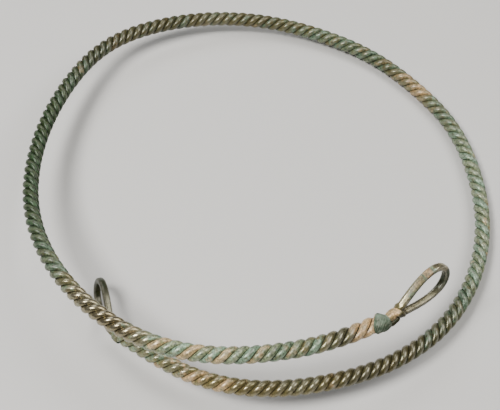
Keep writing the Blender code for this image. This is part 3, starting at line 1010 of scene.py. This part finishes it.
def makeWindingTree():
    w = windingWire
    tree, start, end = newTree("woundWire", "GeometryNodeTree", dict(
        geometry="Geometry", wireRadius=0.0002, sides=8, crust=0.0, crumbs=50, crumbSize=0.0001, seed=1,
        material="Material"), dict(geometry="Geometry"))
    curve = through(through(start.geometry, "MeshToCurve"), "SetCurveRadius", {"Radius": start.wireRadius})
    lumps = noise(given(tree, "Position"), *w["crustNoise"]) - w["crustMiddle"]
    wound = roughen(sweep(curve, circle(tree, start.sides)), lumps, start.crust)
    # crumbs of crust sit where chance puts them
    faces = Outputs(newNode(tree, "GeometryNodeDistributePointsOnFaces", {
        "Mesh": wound, "Density": start.crumbs * w["crumbsPerArea"], "Seed": start.seed}))
    crumb = outOf(newNode(tree, "GeometryNodeMeshIcoSphere", {"Radius": 1.0, "Subdivisions": 2}))
    spread = outOf(newNode(tree, "FunctionNodeRandomValue", {
        0: w["crumbLeast"], 1: w["crumbMost"], "Seed": start.seed}, data_type="FLOAT_VECTOR"))
    sown = newNode(tree, "GeometryNodeInstanceOnPoints", {
        "Points": faces.Points, "Instance": crumb, "Rotation": faces.Rotation, "Scale": spread * start.crumbSize})
    both = newNode(tree, "GeometryNodeJoinGeometry")
    plug(both.inputs[0], wound)
    plug(both.inputs[0], outOf(sown))
    finishTree(outOf(both), start.material, end)
    return tree


def slottedCore(loop, winding):
    # the core under the winding, with a slot for the loop's two legs
    w, h = windingWire, hammeredWire
    angle = np.linspace(0.0, 2 * math.pi, w["coreSides"], endpoint=False)
    legs = -math.radians(loop["crossed"])
    tall = h["thickness"] * h["heldSize"] + h["gap"] / 2 + w["slotPlay"]
    wide = h["width"] * h["heldSize"] / 2 + w["slotPlay"]
    power = w["slotSquareness"]
    slot = (np.abs(np.cos(angle - legs) / tall) ** power + np.abs(np.sin(angle - legs) / wide) ** power
            ) ** (-1 / power)
    stations = np.linspace(loop["foot"], loop["binding"], w["coreSteps"])
    rings = [(x, np.full(len(angle), bindingRadius(x, loop, winding) - w["diameter"] * w["coreDepth"]))
             for x in stations]
    rings += [(x, slot) for x in stations[::-1]]
    points = np.vstack([np.stack([np.full(len(angle), x), r * np.cos(angle), r * np.sin(angle)], axis=1)
                        for x, r in rings])
    sides, count = len(angle), len(rings)
    faces = [(i * sides + j, i * sides + (j + 1) % sides, (i + 1) % count * sides + (j + 1) % sides,
              (i + 1) % count * sides + j) for i in range(count) for j in range(sides)]
    return points, faces


def verdigris(end, winding):
    w = windingWire
    material, tree, shader = newMaterial(f"{end}_binding_verdigris")
    place = objectPlace(tree)
    crest = attribute(tree, "crest")
    skin = useGroup(tree, patinaGroup, green=winding["green"], strand=place, place=place, **w["skin"])
    # painted shade: the crust leans to deep green on the shaded side
    crustAndUnderShade = noise(place, *w["crustiness"]) - attribute(tree, "paintedUnderShade") * w["crustLostBelow"]
    greens = blendColours(ramped(crustAndUnderShade, *w["crustEdge"]), palette["deepGreen"], palette["verdigris"])
    colour = blendColours(winding["green"], skin.color, greens)
    # the grooves between the winding's turns show as dark lines
    colour = blendColours(ramped(crest, *w["turnsEdge"]), palette["deepGreen"], colour)
    finishSkin(shader, w, place, place, colour, w["roughness"], crest, w["wear"], w["metal"])
    return material


def joinedMesh(name, corePoints, coreFaces, winding):
    # the core and the winding round it as one mesh
    core = bpy.data.meshes.new("core")
    core.from_pydata(corePoints.tolist(), [], coreFaces)
    shapes = bmesh.new()
    shapes.from_mesh(core)
    bmesh.ops.recalc_face_normals(shapes, faces=shapes.faces)
    for face in shapes.faces:
        face.smooth = True
    shapes.from_mesh(winding)
    mesh = bpy.data.meshes.new(name)
    shapes.to_mesh(mesh)
    shapes.free()
    return mesh


def windBindings():
    w = windingWire
    tree = makeWindingTree()
    for end, winding in windings.items():
        loop = endLoops[end]
        material = verdigris(end, winding)
        wound = growMesh("winding", lineObject("winding_line", windingPath(loop, winding), {}), tree, {
            **w, **winding, "wireRadius": w["diameter"] / 2, "material": material})
        mesh = joinedMesh(f"{end}_binding", *slottedCore(loop, winding), wound.data)
        bpy.data.objects.remove(wound)
        mesh.materials.append(material)
        points = readPoints(mesh)
        crest = np.hypot(points[:, 1], points[:, 2]) / bindingRadius(points[:, 0], loop, winding)
        crest[points[:, 0] > loop["binding"] - w["endFace"]] = w["endFaceCrest"]
        # painted shade: one side is darker, most of all towards the loop
        paintedUnderShade = np.cos(np.arctan2(points[:, 2], points[:, 1]) - math.radians(winding["darkSide"]))
        paintedUnderShade = paintedUnderShade * (w["darkening"][0] + w["darkening"][1] * eased(points[:, 0], *w["darkeningOver"]))
        setValues(mesh, {"crest": crest, "paintedUnderShade": np.maximum(paintedUnderShade, 0.0)})
        writePoints(mesh, placed(points, loop))
        handOver(addObject(f"{end}_binding_of_wound_wire", mesh), f"{end}_end_binding")


windBindings()


# the photograph's view, and the studio

cameraView = {
    "elevation": 57.3,
    "distance": 0.39815,
    "lens": 71.54,
    "sensor": 36.0,
    "clip": (0.01, 20.0),
    "aim": (-0.0032, -0.0062, 0.0),   # beside the ring's middle
}


def setUp(name, data, place, way):
    placedAt = addObject(name, data)
    placedAt.location = place
    placedAt.rotation_mode = "QUATERNION"
    placedAt.rotation_quaternion = way.to_track_quat("-Z", "Y")
    return placedAt


def setCamera():
    c = cameraView
    rise = math.radians(c["elevation"])
    back = Vector((0.0, -math.cos(rise), math.sin(rise)))
    aim = Vector(c["aim"]) + Vector((shift.x, shift.y, 0.0))
    data = bpy.data.cameras.new("photo_view")
    data.lens, data.sensor_width = c["lens"], c["sensor"]
    data.clip_start, data.clip_end = c["clip"]
    bpy.context.scene.camera = setUp("photo_view", data, aim + back * c["distance"], -back)


studio = {
    "floorHalf": 1.5,
    "floorColour": (0.56, 0.555, 0.54, 1.0),
    "floorRoughness": 0.8,
    "air": (0.52, 0.52, 0.52, 1.0),
    "airStrength": 0.12,
    "lamps": (   # name, place, size across, watts, colour
        ("key", (-0.36, -0.20, 0.72), 0.26, 9.0, (1.0, 0.98, 0.95)),
        ("right", (0.50, 0.05, 0.72), 0.55, 6.0, (1.0, 0.98, 0.95)),
        ("back", (-0.20, 0.50, 0.62), 0.40, 2.0, (0.97, 0.98, 1.0)),
    ),
}


def setStudio():
    s = studio
    mesh = bpy.data.meshes.new("floor")
    half = s["floorHalf"]
    mesh.from_pydata([(-half, -half, 0), (half, -half, 0), (half, half, 0), (-half, half, 0)], [], [(0, 1, 2, 3)])
    floor = addObject("floor", mesh)
    material, tree, shader = newMaterial("pale_floor")
    plug(shader["Base Color"], s["floorColour"])
    plug(shader["Roughness"], s["floorRoughness"])
    mesh.materials.append(material)
    world = bpy.data.worlds.new("studio_air")
    world.use_nodes = True
    air = world.node_tree.nodes["Background"].inputs
    plug(air["Color"], s["air"])
    plug(air["Strength"], s["airStrength"])
    bpy.context.scene.world = world
    for name, place, size, watts, colour in s["lamps"]:
        data = bpy.data.lights.new(name, "AREA")
        data.size, data.energy, data.color = size, watts, colour
        setUp(name, data, place, -Vector(place))


setCamera()
setStudio()
print("camera and studio set")
